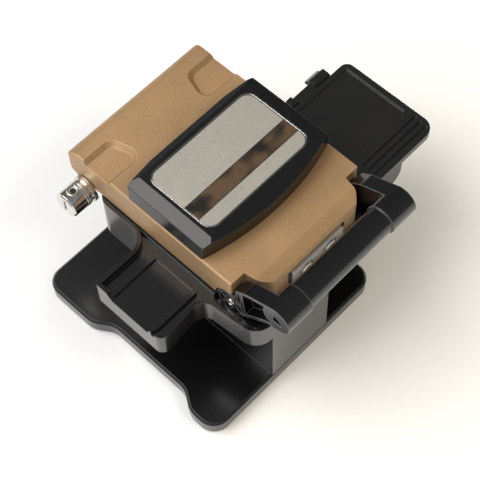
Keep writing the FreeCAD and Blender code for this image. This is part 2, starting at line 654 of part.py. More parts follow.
def bracket_screw(x):
    face = DECK_Y[1] + BRACKET_T
    return join(rod_y(BRACKET_SCREW_R, x, (DECK_Y[1], face), BRACKET_SCREW_Z),
                rod_y(BRACKET_HEAD_R, x, (face, face + BRACKET_HEAD_T), BRACKET_SCREW_Z))


def hinge_shaft():
    return rod_x(HINGE_PIN_R, (SHAFT_END_X, EAR_X[1]), HINGE_Y, HINGE_Z)


def torsion_spring():
    """Lid spring as the sleeve of its close-wound coil."""
    sleeve = rod_x(SPRING_R, (-SPRING_HALF, SPRING_HALF), HINGE_Y, HINGE_Z)
    return sleeve.cut(rod_x(HINGE_PIN_R + RUN, (-SPRING_HALF - 1, SPRING_HALF + 1), HINGE_Y, HINGE_Z))


def tension_knob():
    """Slotted adjuster on the hinge shaft's end, bored for the shaft and its set screw."""
    body = rod_x(KNOB_R, KNOB_X, HINGE_Y, HINGE_Z)
    ends = [e for e in body.Edges if e.BoundBox.XLength < 0.01]
    body = body.makeChamfer(0.6, ends)
    slot = box((KNOB_X[0] - 1, KNOB_X[0] + 1.2), (HINGE_Y - 0.6, HINGE_Y + 0.6),
               (HINGE_Z - 3, HINGE_Z + 3))
    bore = rod_x(HINGE_PIN_R + RUN, (SHAFT_END_X - 0.2, KNOB_X[1] + 1), HINGE_Y, HINGE_Z)
    collar = rod_x(KNOB_R + 0.5, (KNOB_X[1] - 1.4, KNOB_X[1]), HINGE_Y, HINGE_Z)
    neck = rod_x(KNOB_R + 1, (KNOB_X[1] - 2.2, KNOB_X[1] - 1.4), HINGE_Y, HINGE_Z)
    neck = neck.cut(rod_x(KNOB_R - 0.4, (KNOB_X[1] - 3, KNOB_X[1]), HINGE_Y, HINGE_Z))
    pocket = rod_z(SET_SCREW_R, SET_SCREW_X, HINGE_Y, (HINGE_Z + HINGE_PIN_R, HINGE_Z + 8))
    return join(body.cut(neck), collar).cut(Part.Compound([slot, bore, pocket]))


def set_screw():
    top = HINGE_Z + KNOB_R - 0.3
    screw = rod_z(SET_SCREW_R, SET_SCREW_X, HINGE_Y, (HINGE_Z + HINGE_PIN_R + RUN, top))
    return screw.cut(rod_z(SET_SOCKET_R, SET_SCREW_X, HINGE_Y, (top - 1.5, top + 1)))


def bail_arm_web(x):
    """Side profile of an arm between the hub and the bar."""
    corners = [(BAIL_Y, BAIL_Z, 0), (-34.5, 53.2, 0), (-35.0, 58.4, 1), (-39.4, 62.0, 3), (-50.6, 67.2, 1),
               (BAIL_BAR_Y, BAIL_BAR_Z, 0), (-53.6, 56.7, 0.5), (-48.2, 54.4, 2.5), (-37.9, 45.1, 1)]
    return side(corners, x)


def bail_arm():
    x = (BAIL_INNER, BAIL_OUTER)
    arm = join(rod_x(BAIL_HUB_R, x, BAIL_Y, BAIL_Z), bail_arm_web(x),
               rod_x(BAIL_COLLAR_R, x, BAIL_BAR_Y, BAIL_BAR_Z))
    web = Part.Face([w for w in arm.Faces if w.BoundBox.XMin > BAIL_OUTER - 0.01][0].OuterWire)
    pocket = web.makeOffset2D(-ARM_FLANGE).extrude(Vector(-ARM_POCKET, 0, 0))
    pocket = pocket.cut(rod_x(BAIL_HUB_R, x, BAIL_Y, BAIL_Z))
    pocket = pocket.cut(rod_x(BAIL_COLLAR_R, x, BAIL_BAR_Y, BAIL_BAR_Z))
    rib = side([(-38.2, 45.0, 0), (-36.0, 62.0, 0), (-37.4, 62.6, 0), (-39.4, 46.2, 0)], x)
    hub_ring = rod_x(HUB_RING_R, (BAIL_OUTER - 1.5, BAIL_OUTER + 1), BAIL_Y, BAIL_Z)
    leaf = side([(-55.4, 60.2, 0.6), (-50.6, 60.0, 0.6), (-51.6, 64.0, 0.6)],
                (BAIL_OUTER - 2.0, BAIL_OUTER + 1))
    bore = rod_x(PIVOT_R + RUN, (x[0] - 1, x[1] + 1), BAIL_Y, BAIL_Z)
    return arm.cut(pocket.cut(rib)).cut(Part.Compound([hub_ring, bore, leaf]))


def bail_handle():
    """U-shaped handle: two open-backed arms, a round bar and its end collars."""
    bar = rod_x(BAIL_BAR_R, (-BAIL_INNER, BAIL_INNER), BAIL_BAR_Y, BAIL_BAR_Z)
    collar = rod_x(BAIL_COLLAR_R, (BAIL_INNER - BAIL_COLLAR_W, BAIL_INNER), BAIL_BAR_Y, BAIL_BAR_Z)
    return join(bar, *(pair(collar) + pair(bail_arm())))


def pivot_screw():
    """Screw from the outside of the bail's left hub into the ear on the deck."""
    head_face = -BAIL_OUTER + 0.2
    shank = rod_x(PIVOT_R, (head_face, -POST_X[0]), BAIL_Y, BAIL_Z)
    head = rod_x(PIVOT_HEAD_R, (head_face, head_face + PIVOT_HEAD_T), BAIL_Y, BAIL_Z)
    socket = rod_x(PIVOT_SOCKET_R, (head_face - 1, head_face + 1), BAIL_Y, BAIL_Z)
    return join(shank, head).cut(socket)


def bin_pin(y):
    return rod_x(ROD_R, (DECK_REAR_X - 5, BIN_X[0] + BIN_PIN_REACH), y, BIN_PIN_Z)


def bin_box():
    """Open-topped box with bosses for the two pins and a hinge ledge at the rear."""
    x, y, z = BIN_X, BIN_Y, BIN_Z
    outer = front([(x[0], z[0], 1), (x[1], z[0], 5), (x[1], z[1], 0), (x[0], z[1], 0)], y)
    inner = front([(x[0] + BIN_WALL, z[0] + BIN_WALL, 1), (x[1] - BIN_WALL, z[0] + BIN_WALL, 3.5),
                   (x[1] - BIN_WALL, z[1] + 1, 0), (x[0] + BIN_WALL, z[1] + 1, 0)],
                  (y[0] + BIN_WALL, y[1] - BIN_WALL))
    bosses = []
    bores = []
    for pin_y in BIN_PIN_Y:
        bosses.append(rod_x(BIN_BOSS_R, (x[0], x[0] + BIN_BOSS_DEPTH), pin_y, BIN_PIN_Z))
        bores.append(rod_x(ROD_R + RUN, (x[0] - 1, x[0] + BIN_PIN_REACH + 0.2), pin_y, BIN_PIN_Z))
    strip_y = (BIN_HINGE_Y - BIN_KNUCKLE_R, BIN_HINGE_Y + 2.2)
    ledge = box((BIN_EAR_X[0][0], BIN_EAR_X[1][1]), (y[1] - 1, strip_y[1]), (40.5, 43.2))
    ear_corners = [(strip_y[0], 42.8, 0), (strip_y[1], 42.8, 0), (strip_y[1], 46.8, 0.3),
                   (strip_y[0], 46.8, 1.5)]
    ears = [side(ear_corners, span) for span in BIN_EAR_X]
    wedge = side([(strip_y[1] - 0.1, 43.2, 0), (strip_y[1] + 2.0, 43.2, 0), (strip_y[1] + 2.0, 44.0, 0),
                  (strip_y[1] - 0.1, 46.0, 0)], (52.0, BIN_EAR_X[1][1] - 0.6))
    whole = join(outer.cut(inner), ledge, wedge, *(ears + bosses))
    bores.append(rod_x(BIN_HINGE_PIN_R, (BIN_EAR_X[0][0] - 1, BIN_SHAFT_END_X), BIN_HINGE_Y, BIN_HINGE_Z))
    return whole.cut(Part.Compound(bores))


def bin_hinge_pin():
    return rod_x(BIN_HINGE_PIN_R, (BIN_EAR_X[0][0], BIN_SHAFT_END_X), BIN_HINGE_Y, BIN_HINGE_Z)


def bin_cover():
    """Flat cover with a rimmed recess, finger grooves and a hinge strap."""
    x, y, z = COVER_X, COVER_Y, COVER_Z
    slab = plan([(x[0], y[0], 0.6), (x[1], y[0], 5), (x[1], y[1], 3), (x[0], y[1], 0.6)], z)
    recess = rounded_box(COVER_PANEL_X, COVER_PANEL_Y, (z[1] - COVER_PANEL_DEPTH, z[1] + 1), 0.8)
    cuts = [recess]
    for number, groove_y in enumerate(COVER_GROOVE_Y):
        reach = x[1] - 2.2 + 0.4 * number
        cuts.append(rounded_box((COVER_GROOVE_X, reach), (groove_y - 0.6, groove_y + 0.6),
                                (z[1] - COVER_GROOVE_DEPTH, z[1] + 1), 0.5))
    slab = slab.cut(Part.Compound(cuts))
    strap = join(rod_x(BIN_KNUCKLE_R, BIN_STRAP_X, BIN_HINGE_Y, BIN_HINGE_Z),
                 box(BIN_STRAP_X, (y[1] - 1, BIN_HINGE_Y), (z[0], BIN_HINGE_Z + BIN_KNUCKLE_R)))
    cover = join(slab, strap)
    bore = rod_x(BIN_HINGE_PIN_R + RUN, (x[0], x[1]), BIN_HINGE_Y, BIN_HINGE_Z)
    return cover.cut(bore)


def pieces():
    left_clamp = (-CLAMP_X[1], -CLAMP_X[0])
    shapes = {
        "body_casting": body_casting(), "deck_plate": deck_plate(),
        "guide_rod_left": guide_rod(-ROD_X), "guide_rod_right": guide_rod(ROD_X),
        "blade_carriage": carriage(), "blade_wheel": blade_wheel(), "blade_axle": blade_axle(),
        "push_rod": push_rod(), "latch_magnet": latch_magnet(),
        "hinge_bracket": hinge_bracket(), "hinge_shaft": hinge_shaft(), "torsion_spring": torsion_spring(),
        "tension_knob": tension_knob(), "set_screw": set_screw(),
        "lid_shell": lid_shell(), "lid_boss": lid_boss(), "catch_plate": catch_plate(),
        "anvil": anvil(), "anvil_spring": anvil_spring(), "anvil_guide": anvil_guide(),
        "lower_roller": roller(LOWER_ROLLER_Z), "upper_roller": roller(UPPER_ROLLER_Z),
        "lower_yoke": roller_yoke(LOWER_ROLLER_Z, ROLLER_BAY_Z),
        "upper_yoke": roller_yoke(UPPER_ROLLER_Z, LID_CEILING_Z),
        "bail_handle": bail_handle(), "pivot_screw_left": pivot_screw(),
        "pivot_screw_right": mirrored(pivot_screw()),
        "bin_box": bin_box(), "bin_cover": bin_cover(), "bin_hinge_pin": bin_hinge_pin(),
    }
    for side_name, x in (("left", left_clamp), ("right", CLAMP_X)):
        shapes["lower_clamp_" + side_name] = clamp_block(x)
        shapes["lower_pad_" + side_name] = pad(x, (PAD_SEAT_Z, LOWER_PAD_Z))
        shapes["upper_clamp_" + side_name] = upper_clamp(x)
        shapes["upper_pad_" + side_name] = pad(x, UPPER_PAD_Z)
    for number, (x, y) in enumerate(foot_places(), 1):
        shapes["foot_%d" % number] = foot(x, y)
    for number, x in enumerate(CATCH_SCREW_X, 1):
        shapes["catch_screw_%d" % number] = catch_screw(x)
    for number, x in enumerate(BRACKET_SCREW_X, 1):
        shapes["bracket_screw_%d" % number] = bracket_screw(x)
    for number, y in enumerate(BIN_PIN_Y, 1):
        shapes["bin_pin_%d" % number] = bin_pin(y)
    return shapes


def export(shapes):
    """Write the pieces with the origin at the bottom centre of the whole object's box."""
    whole = Part.Compound(list(shapes.values())).BoundBox
    move = Vector(-whole.Center.x, -whole.Center.y, -whole.ZMin)
    os.makedirs("parts", exist_ok=True)
    for name, shape in shapes.items():
        shape.translated(move).exportStep("parts/%s.step" % name)
    print("moved by", move.x, move.y, move.z)


export(pieces())
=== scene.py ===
import json
import math

import bmesh
import bpy
from mathutils import Matrix, Vector


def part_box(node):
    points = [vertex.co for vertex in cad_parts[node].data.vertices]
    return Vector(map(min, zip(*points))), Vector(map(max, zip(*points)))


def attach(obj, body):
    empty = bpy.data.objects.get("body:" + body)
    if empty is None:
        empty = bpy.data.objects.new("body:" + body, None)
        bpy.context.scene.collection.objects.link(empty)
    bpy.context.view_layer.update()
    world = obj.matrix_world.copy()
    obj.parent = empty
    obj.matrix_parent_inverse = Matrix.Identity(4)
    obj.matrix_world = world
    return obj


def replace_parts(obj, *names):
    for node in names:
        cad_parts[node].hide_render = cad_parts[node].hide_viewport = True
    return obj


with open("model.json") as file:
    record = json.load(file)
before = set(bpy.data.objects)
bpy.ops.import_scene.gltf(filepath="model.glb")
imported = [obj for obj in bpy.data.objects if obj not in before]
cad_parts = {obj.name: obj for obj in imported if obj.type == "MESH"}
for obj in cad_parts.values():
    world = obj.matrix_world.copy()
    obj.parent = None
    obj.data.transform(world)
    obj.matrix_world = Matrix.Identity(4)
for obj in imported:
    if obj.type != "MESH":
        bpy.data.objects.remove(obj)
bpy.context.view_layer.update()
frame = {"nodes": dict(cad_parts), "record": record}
MM = 0.001
MICRON = 0.000001

# The lid's own frame: x = 0 is its middle plane, and its front face is LID_FRONT ahead of y = 0.
LID_FRONT = 42.2 * MM
lid_low, lid_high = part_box("lid_shell")
ORIGIN = Vector(((lid_low.x + lid_high.x) / 2, lid_low.y + LID_FRONT, 0))
ALONG_X, ALONG_Y, ALONG_Z = (1, 0, 0), (0, 1, 0), (0, 0, 1)


def at(x, y, z):
    """A point given in millimetres in the lid's frame, in the record frame's metres."""
    return ORIGIN + Vector((x, y, z)) * MM


# ---------------------------------------------------------------- materials

BEVEL_SAMPLES = 6
BUMP_STRENGTH = 0.6
EDGE_SPAN = (0.85, 0.99)         # agreement of the two normals on an edge and on a flat face
SLOW_GRAIN = 18 * MM             # width of the slow blotches of colour
GLOSS_CHANGE = 0.12              # share by which the roughness varies either way
WEAR_GAIN, WEAR_LIFT = 1.8, 0.05  # a worn edge's colour from the paint's, where none is given
WEAR_REACH = 1.6                 # width of the wear, in edge radii
DUST_SPACING, DUST_RADIUS = 9 * MM, 0.2 * MM
DUST_COLOUR = (0.6, 0.6, 0.58)


class Nodes:
    """A material's node tree, with short calls for the nodes used here."""

    def __init__(self, name):
        self.material = bpy.data.materials.new(name)
        self.material.use_nodes = True
        self.tree = self.material.node_tree
        self.shader = self.tree.nodes["Principled BSDF"]

    def add(self, kind, **values):
        node = self.tree.nodes.new(kind)
        for key, value in values.items():
            setattr(node, key, value)
        return node

    def link(self, source, target):
        self.tree.links.new(source, target)

    def place(self):
        return self.add("ShaderNodeTexCoord").outputs["Object"]

    def noise(self, size, detail=3.0, stretch=(1, 1, 1)):
        """Noise whose blotches are about size metres wide."""
        mapping = self.add("ShaderNodeMapping")
        mapping.inputs["Scale"].default_value = stretch
        self.link(self.place(), mapping.inputs["Vector"])
        noise = self.add("ShaderNodeTexNoise")
        noise.inputs["Scale"].default_value = 1.0 / size
        noise.inputs["Detail"].default_value = detail
        self.link(mapping.outputs["Vector"], noise.inputs["Vector"])
        return noise.outputs["Fac"]

    def dust(self, spacing, radius):
        """1 on sparse specks of that radius, 0 elsewhere."""
        cells = self.add("ShaderNodeTexVoronoi")
        cells.inputs["Scale"].default_value = 1.0 / spacing
        self.link(self.place(), cells.inputs["Vector"])
        reach = radius / spacing
        return self.spread(cells.outputs["Distance"], 1.0, 0.0, reach / 2, reach)

    def spread(self, value, low, high, start=0.3, end=0.7):
        """value mapped from start..end to low..high."""
        node = self.add("ShaderNodeMapRange")
        node.inputs["From Min"].default_value = start
        node.inputs["From Max"].default_value = end
        node.inputs["To Min"].default_value = low
        node.inputs["To Max"].default_value = high
        self.link(value, node.inputs["Value"])
        return node.outputs["Result"]

    def mix(self, factor, first, second):
        node = self.add("ShaderNodeMix", data_type="RGBA")
        for socket, colour in ((node.inputs["A"], first), (node.inputs["B"], second)):
            if isinstance(colour, tuple):
                socket.default_value = (*colour, 1)
            else:
                self.link(colour, socket)
        self.link(factor, node.inputs["Factor"])
        return node.outputs["Result"]

    def edge(self, radius):
        """1 near an edge and 0 on a flat face."""
        bevel = self.add("ShaderNodeBevel", samples=BEVEL_SAMPLES)
        bevel.inputs["Radius"].default_value = radius
        flat = self.add("ShaderNodeNewGeometry")
        dot = self.add("ShaderNodeVectorMath", operation="DOT_PRODUCT")
        self.link(bevel.outputs["Normal"], dot.inputs[0])
        self.link(flat.outputs["Normal"], dot.inputs[1])
        return self.spread(dot.outputs["Value"], 1.0, 0.0, *EDGE_SPAN)

    def relief(self, height, depth, radius):
        """Bump of that depth on normals that round every edge by radius."""
        bevel = self.add("ShaderNodeBevel", samples=BEVEL_SAMPLES)
        bevel.inputs["Radius"].default_value = radius
        bump = self.add("ShaderNodeBump")
        bump.inputs["Distance"].default_value = depth
        bump.inputs["Strength"].default_value = BUMP_STRENGTH
        self.link(height, bump.inputs["Height"])
        self.link(bevel.outputs["Normal"], bump.inputs["Normal"])
        self.link(bump.outputs["Normal"], self.shader.inputs["Normal"])


def finish(name, colour, second, roughness, metallic=0.0, grain=0.5 * MM, depth=4 * MICRON,
           stretch=(1, 1, 1), wear=0.15, radius=0.25 * MM, edge_colour=None,
           coat=0.0, coat_roughness=0.25, ior=1.5, dust=0.0):
    """A surface with fine grain, slow variation of colour and gloss, softened and worn edges."""
    nodes = Nodes(name)
    slow = nodes.noise(SLOW_GRAIN, 2.0)
    fine = nodes.noise(grain, 4.0, stretch)
    tone = nodes.mix(nodes.spread(slow, 0.0, 1.0), colour, second)
    speck = nodes.mix(nodes.spread(fine, 0.0, 0.5), tone, second)
    bright = edge_colour or tuple(min(1.0, c * WEAR_GAIN + WEAR_LIFT) for c in colour)
    weight = nodes.spread(nodes.edge(radius * WEAR_REACH), 0.0, wear, 0.0, 1.0)
    paint = nodes.mix(weight, speck, bright)
    if dust:
        specks = nodes.dust(DUST_SPACING, DUST_RADIUS)
        paint = nodes.mix(nodes.spread(specks, 0.0, dust, 0.0, 1.0), paint, DUST_COLOUR)
    gloss = nodes.spread(fine, roughness * (1 - GLOSS_CHANGE), roughness * (1 + GLOSS_CHANGE))
    nodes.link(paint, nodes.shader.inputs["Base Color"])
    nodes.link(gloss, nodes.shader.inputs["Roughness"])
    nodes.shader.inputs["Metallic"].default_value = metallic
    nodes.shader.inputs["IOR"].default_value = ior
    nodes.shader.inputs["Coat Weight"].default_value = coat
    nodes.shader.inputs["Coat Roughness"].default_value = coat_roughness
    nodes.relief(fine, depth, radius)
    return nodes.material


def painted_reflection_band():
    """Polished strip whose colour carries painted reflection: cloudy patches of the bronze lid and of the
    dark room.
    """
    # dark and bronze are painted reflections of the room and of the lid; pit is the strip's real grit.
    dark, bronze, pit = (0.085, 0.080, 0.068), (0.42, 0.27, 0.16), (0.03, 0.03, 0.03)
    nodes = Nodes("painted_reflection_band")
    cloud = nodes.noise(11 * MM, 1.5, (1, 1.6, 1))
    grit = nodes.noise(0.6 * MM, 3.0)
    tone = nodes.mix(nodes.spread(cloud, 0.0, 1.0, 0.42, 0.58), dark, bronze)
    paint = nodes.mix(nodes.spread(grit, 0.0, 0.35), tone, pit)
    nodes.link(paint, nodes.shader.inputs["Base Color"])
    nodes.shader.inputs["Metallic"].default_value = 0.85
    nodes.shader.inputs["Roughness"].default_value = 0.22
    nodes.relief(grit, 10 * MICRON, 0.1 * MM)
    return nodes.material


def brushed_plate():
    """Silver plate with a satin stipple drawn out across it and faint darker flecks."""
    silver, grey = (0.52, 0.485, 0.42), (0.44, 0.42, 0.375)
    streak_grey, fleck_grey = (0.44, 0.42, 0.38), (0.27, 0.26, 0.23)
    nodes = Nodes("brushed_plate")
    streak = nodes.noise(0.7 * MM, 4.0, (2.2, 0.8, 1))
    fleck = nodes.noise(1.1 * MM, 5.0, (1.5, 0.7, 1))
    slow = nodes.noise(22 * MM, 2.0)
    tone = nodes.mix(nodes.spread(slow, 0.0, 1.0), silver, grey)
    grain = nodes.mix(nodes.spread(streak, 0.0, 0.6), tone, streak_grey)
    paint = nodes.mix(nodes.spread(fleck, 0.0, 0.5, 0.56, 0.70), grain, fleck_grey)
    nodes.link(paint, nodes.shader.inputs["Base Color"])
    nodes.shader.inputs["Metallic"].default_value = 0.55
    nodes.link(nodes.spread(streak, 0.42, 0.58), nodes.shader.inputs["Roughness"])
    nodes.relief(streak, 40 * MICRON, 0.15 * MM)
    return nodes.material


BODY = finish("body_black", (0.0045, 0.0045, 0.0048), (0.0030, 0.0030, 0.0032), roughness=0.22,
              grain=0.6 * MM, wear=0.25, edge_colour=(0.10, 0.10, 0.105),
              coat=0.25, coat_roughness=0.15, ior=1.55, dust=0.5)
DECK = finish("deck_black", (0.008, 0.008, 0.008), (0.006, 0.006, 0.006), roughness=0.30, ior=1.7)
LID = finish("lid_bronze", (0.44, 0.275, 0.135), (0.355, 0.215, 0.105), roughness=0.45, metallic=0.35,
             grain=0.4 * MM, depth=220 * MICRON, wear=0.45, radius=0.3 * MM,
             edge_colour=(0.80, 0.58, 0.36), ior=1.6)
BOSS = finish("boss_black", (0.0060, 0.0060, 0.0066), (0.0042, 0.0042, 0.0046), roughness=0.24,
              depth=5 * MICRON, wear=0.25, edge_colour=(0.09, 0.09, 0.10), coat=0.1, coat_roughness=0.3)
BAIL = finish("bail_black", (0.0055, 0.0055, 0.0062), (0.0038, 0.0038, 0.0045), roughness=0.20,
              wear=0.75, radius=0.35 * MM, edge_colour=(0.20, 0.20, 0.205),
              coat=0.3, coat_roughness=0.2, ior=1.55)
BIN = finish("bin_black", (0.0085, 0.0080, 0.0075), (0.0060, 0.0060, 0.0056), roughness=0.32,
             grain=0.6 * MM, depth=5 * MICRON, wear=0.2, edge_colour=(0.07, 0.07, 0.075), coat=0.2, ior=1.6)
RUBBER = finish("rubber", (0.016, 0.016, 0.016), (0.010, 0.010, 0.010), roughness=0.75,
                grain=0.4 * MM, depth=40 * MICRON, wear=0.0)
CHROME = finish("chrome", (0.80, 0.78, 0.74), (0.66, 0.64, 0.60), roughness=0.13, metallic=1.0,
                grain=4 * MM, depth=10 * MICRON, wear=0.0)
STEEL = finish("steel", (0.66, 0.64, 0.60), (0.56, 0.55, 0.51), roughness=0.34, metallic=0.7,
               grain=0.6 * MM, depth=20 * MICRON, stretch=(1, 6, 6), wear=0.1)
OXIDE = finish("black_oxide", (0.012, 0.012, 0.013), (0.008, 0.008, 0.009), roughness=0.30, metallic=0.3,
               depth=20 * MICRON, wear=0.3, edge_colour=(0.16, 0.16, 0.16))
# Black that stands in for shade: painted shade in grooves, counterbores, sockets and slots.
SHADOW = finish("painted_shade_black", (0.004, 0.004, 0.004), (0.003, 0.003, 0.003), roughness=0.6,
                grain=0.6 * MM, depth=10 * MICRON, wear=0.0)
PLATE = brushed_plate()
BAND = painted_reflection_band()
SLOT_FINISH = {"body_black": BODY, "deck_black": DECK, "lid_bronze": LID, "moulded_black": BOSS,
               "bin_black": BIN, "rubber_black": RUBBER, "chrome_bright": CHROME, "steel": STEEL}
NODE_FINISH = {"bail_handle": BAIL, "pivot_screw_left": OXIDE, "pivot_screw_right": OXIDE}


def paint_frame():
    """Give every node of the frame the finish of its material slot."""
    slots = {item["node"]: item["material_slot"] for item in frame["record"]["subparts"]}
    for name, node in frame["nodes"].items():
        node.data.materials.clear()
        node.data.materials.append(NODE_FINISH.get(name, SLOT_FINISH[slots[name]]))


# ---------------------------------------------------------------- mesh helpers

WELD = 1e-7      # metres between points that are one point


def piece(name, mesh, material, body, smooth=False):
    """Put a finished bmesh in the scene as one piece that rides on a body."""
    bmesh.ops.recalc_face_normals(mesh, faces=mesh.faces)
    data = bpy.data.meshes.new(name)
    mesh.to_mesh(data)
    mesh.free()
    data.materials.append(material)
    item = bpy.data.objects.new(name, data)
    bpy.context.collection.objects.link(item)
    if smooth:
        data.shade_smooth()
    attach(item, body)
    return item


def rounded_outline(half_x, half_y, radius, steps=8):
    """Points of a rounded rectangle about the origin, counterclockwise."""
    points = []
    for turn, (sx, sy) in enumerate(((1, 1), (-1, 1), (-1, -1), (1, -1))):
        for step in range(steps + 1):
            angle = math.pi / 2 * (turn + step / steps)
            points.append((sx * (half_x - radius) + radius * math.cos(angle),
                           sy * (half_y - radius) + radius * math.sin(angle)))
    return points


def plate_rings(x, y, sections):
    """One rounded outline in the lid's frame for each (height, inset, corner radius) of sections."""
    middle_x, middle_y = sum(x) / 2, sum(y) / 2
    half_x, half_y = (x[1] - x[0]) / 2, (y[1] - y[0]) / 2
    return [[at(middle_x + px, middle_y + py, height)
             for px, py in rounded_outline(half_x - inset, half_y - inset, radius)]
            for height, inset, radius in sections]


def layers(mesh, rings, closed_ends=True):
    """Skin over rings of equally many points, with a face on each end."""
    rows = [[mesh.verts.new(point) for point in ring] for ring in rings]
    count = len(rows[0])
    for lower, upper in zip(rows, rows[1:]):
        for i in range(count):
            j = (i + 1) % count
            mesh.faces.new((lower[i], lower[j], upper[j], upper[i]))
    if closed_ends:
        mesh.faces.new(rows[0][::-1])
        mesh.faces.new(rows[-1])


def chip(x, y, z, radius, bevel=0.12):
    """Rounded plate between x, y and z spans in the lid's frame, its top edge broken by bevel."""
    sections = [(height, inset, max(radius - inset, 0.02))
                for height, inset in ((z[0], 0.0), (z[1] - bevel, 0.0), (z[1], bevel))]
    mesh = bmesh.new()
    layers(mesh, plate_rings(x, y, sections))
    return mesh


def frame_ring(x, y, z, radius, width):
    """Thin raised border, width wide, round a rounded plate."""
    shoulder = z[1] - width / 4
    profile = ((z[0], 0.0), (shoulder, 0.0), (z[1], width / 4), (z[1], width * 3 / 4),
               (shoulder, width), (z[0], width))
    rings = plate_rings(x, y, [(height, inset, radius - inset) for height, inset in profile])
    mesh = bmesh.new()
    layers(mesh, rings + rings[:1], closed_ends=False)
    bmesh.ops.remove_doubles(mesh, verts=mesh.verts, dist=WELD)
    return mesh


def circle(centre, side, up, radius, segments):
    """Points of a circle in the plane of two unit vectors, radius in millimetres."""
    angles = [2 * math.pi * k / segments for k in range(segments)]
    return [centre + (side * math.cos(angle) + up * math.sin(angle)) * radius * MM for angle in angles]


def turned(profile, centre, axis, segments=40):
    """Body of revolution: profile is (distance along axis, radius) in millimetres from centre."""
    axis = Vector(axis).normalized()
    side = axis.orthogonal().normalized()
    up = axis.cross(side)
    mesh = bmesh.new()
    layers(mesh, [circle(centre + axis * along * MM, side, up, radius, segments)
                  for along, radius in profile])
    return mesh


def wire(points, radius, segments=10):
    """Round wire of radius millimetres through a list of points in the record's frame."""
    rings = []
    for i, point in enumerate(points):
        before = points[max(i - 1, 0)]
        after = points[min(i + 1, len(points) - 1)]
        ahead = (after - before).normalized()
        side = ahead.cross(Vector(ALONG_X)).normalized()
        rings.append(circle(point, side, ahead.cross(side), radius, segments))
    mesh = bmesh.new()
    layers(mesh, rings)
    return mesh


def bar(mesh, ends, first, second, section):
    """Straight bar between two ends; section is (along first, along second) in millimetres."""
    layers(mesh, [[end + (first * a + second * b) * MM for a, b in section] for end in ends])


def box_middle(node, **moved):
    """Middle of a node's box, with the coordinates that are given by name put in."""
    low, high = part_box(node)
    middle = (low + high) / 2
    for axis, value in moved.items():
        setattr(middle, axis, value)
    return middle


# ---------------------------------------------------------------- nameplate, bare

# Spans in millimetres in the lid's frame; heights are from the boss's top.
PLATE_X = (-22.9, 22.9)
PLATE_Y = (-18.3, 9.7)
PLATE_R = 3.6
PLATE_BELOW = 0.05
RECESS = 0.4
BAND_Y = (-13.0, -6.8)
TRIM_ROOT = 0.06
TRIM_R, TRIM_BEVEL = 0.1, 0.03
LINE_HALF, LINE_RISE = 0.14, 0.02
BORDER_OUT, BORDER_WIDTH, BORDER_RISE = 0.5, 0.22, 0.1


def grown(span, amount):
    """A span made longer by amount at both ends."""
    return span[0] - amount, span[1] + amount


def nameplate():
    """Bare silver plate in the boss's recess, with its bright border and its polished strip of painted
    reflection.
    """
    _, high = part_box("lid_boss")
    top = high.z / MM
    plate = chip(PLATE_X, PLATE_Y, (top - RECESS, top - PLATE_BELOW), PLATE_R)
    piece("nameplate", plate, PLATE, "lid")
    # The band's bronze and dark patches are painted reflection of the lid and the room.
    band = chip(grown(PLATE_X, -PLATE_BELOW), BAND_Y, (top - TRIM_ROOT, top), TRIM_R, TRIM_BEVEL)
    piece("nameplate_band", band, BAND, "lid")
    for number, y in enumerate(BAND_Y, 1):
        line = chip(PLATE_X, (y - LINE_HALF, y + LINE_HALF), (top - TRIM_ROOT, top + LINE_RISE),
                    TRIM_R, TRIM_BEVEL)
        piece("nameplate_line_%d" % number, line, OXIDE, "lid")
    border = frame_ring(grown(PLATE_X, BORDER_OUT), grown(PLATE_Y, BORDER_OUT),
                        (top - RECESS, top + BORDER_RISE), PLATE_R + BORDER_OUT, BORDER_WIDTH)
    piece("nameplate_border", border, CHROME, "lid")


# ---------------------------------------------------------------- lid front and hinge

# Profiles of turned details are (distance along the axis, radius) in millimetres.
CATCH_GROOVE = ((0.5, 2.9), (-0.03, 2.9), (-0.08, 2.75), (-0.03, 2.6), (0.3, 2.1), (0.5, 2.0))
CATCH_HEAD = ((0.9, 2.1), (-0.3, 2.1), (-0.55, 1.95), (-0.7, 1.6), (-0.72, 1.3), (-0.55, 1.15),
              (-0.2, 1.1), (0.2, 0.5))
CATCH_SOCKET = ((0.3, 1.14), (-0.52, 1.14), (-0.40, 0.6), (-0.35, 0.1))
SLOT_OUT = (0.05, 0.95)          # millimetres outwards from the catch plate's edge
SLOT_DEEP = (0.55, 1.05)         # behind the plate's face
SLOT_RISE = 3.6                  # of the slot's foot above the plate's lower edge
COIL_WIRE_R = 0.5
COIL_PITCH = 2.1                 # in radii of the wire
COIL_STEPS = 20
KNOB_R = 4.9
KNOB_RINGS = (3.1, 3.9)          # behind the knob's outer face
RING_HALF, RING_CREST_HALF = 0.22, 0.1
RING_ROOT, RING_FOOT, RING_CREST = -0.3, 0.02, 0.14
SCREW_RIM = ((-0.6, 2.2), (0.35, 2.2), (0.5, 2.05), (0.5, 1.7), (0.3, 1.55), (-0.6, 1.55))
SCREW_SOCKET = ((-1.2, 1.05), (0.0, 1.05), (0.1, 0.95))
BRACKET_SOCKET = ((-0.3, 1.35), (0.04, 1.35), (0.06, 1.2))
BRACKET_CROWN = ((-0.5, 2.8), (-0.1, 2.8), (0.12, 2.55), (0.12, 1.6), (0.0, 1.5), (-0.5, 1.5))
HEXAGON = 6                      # segments of a hexagon socket


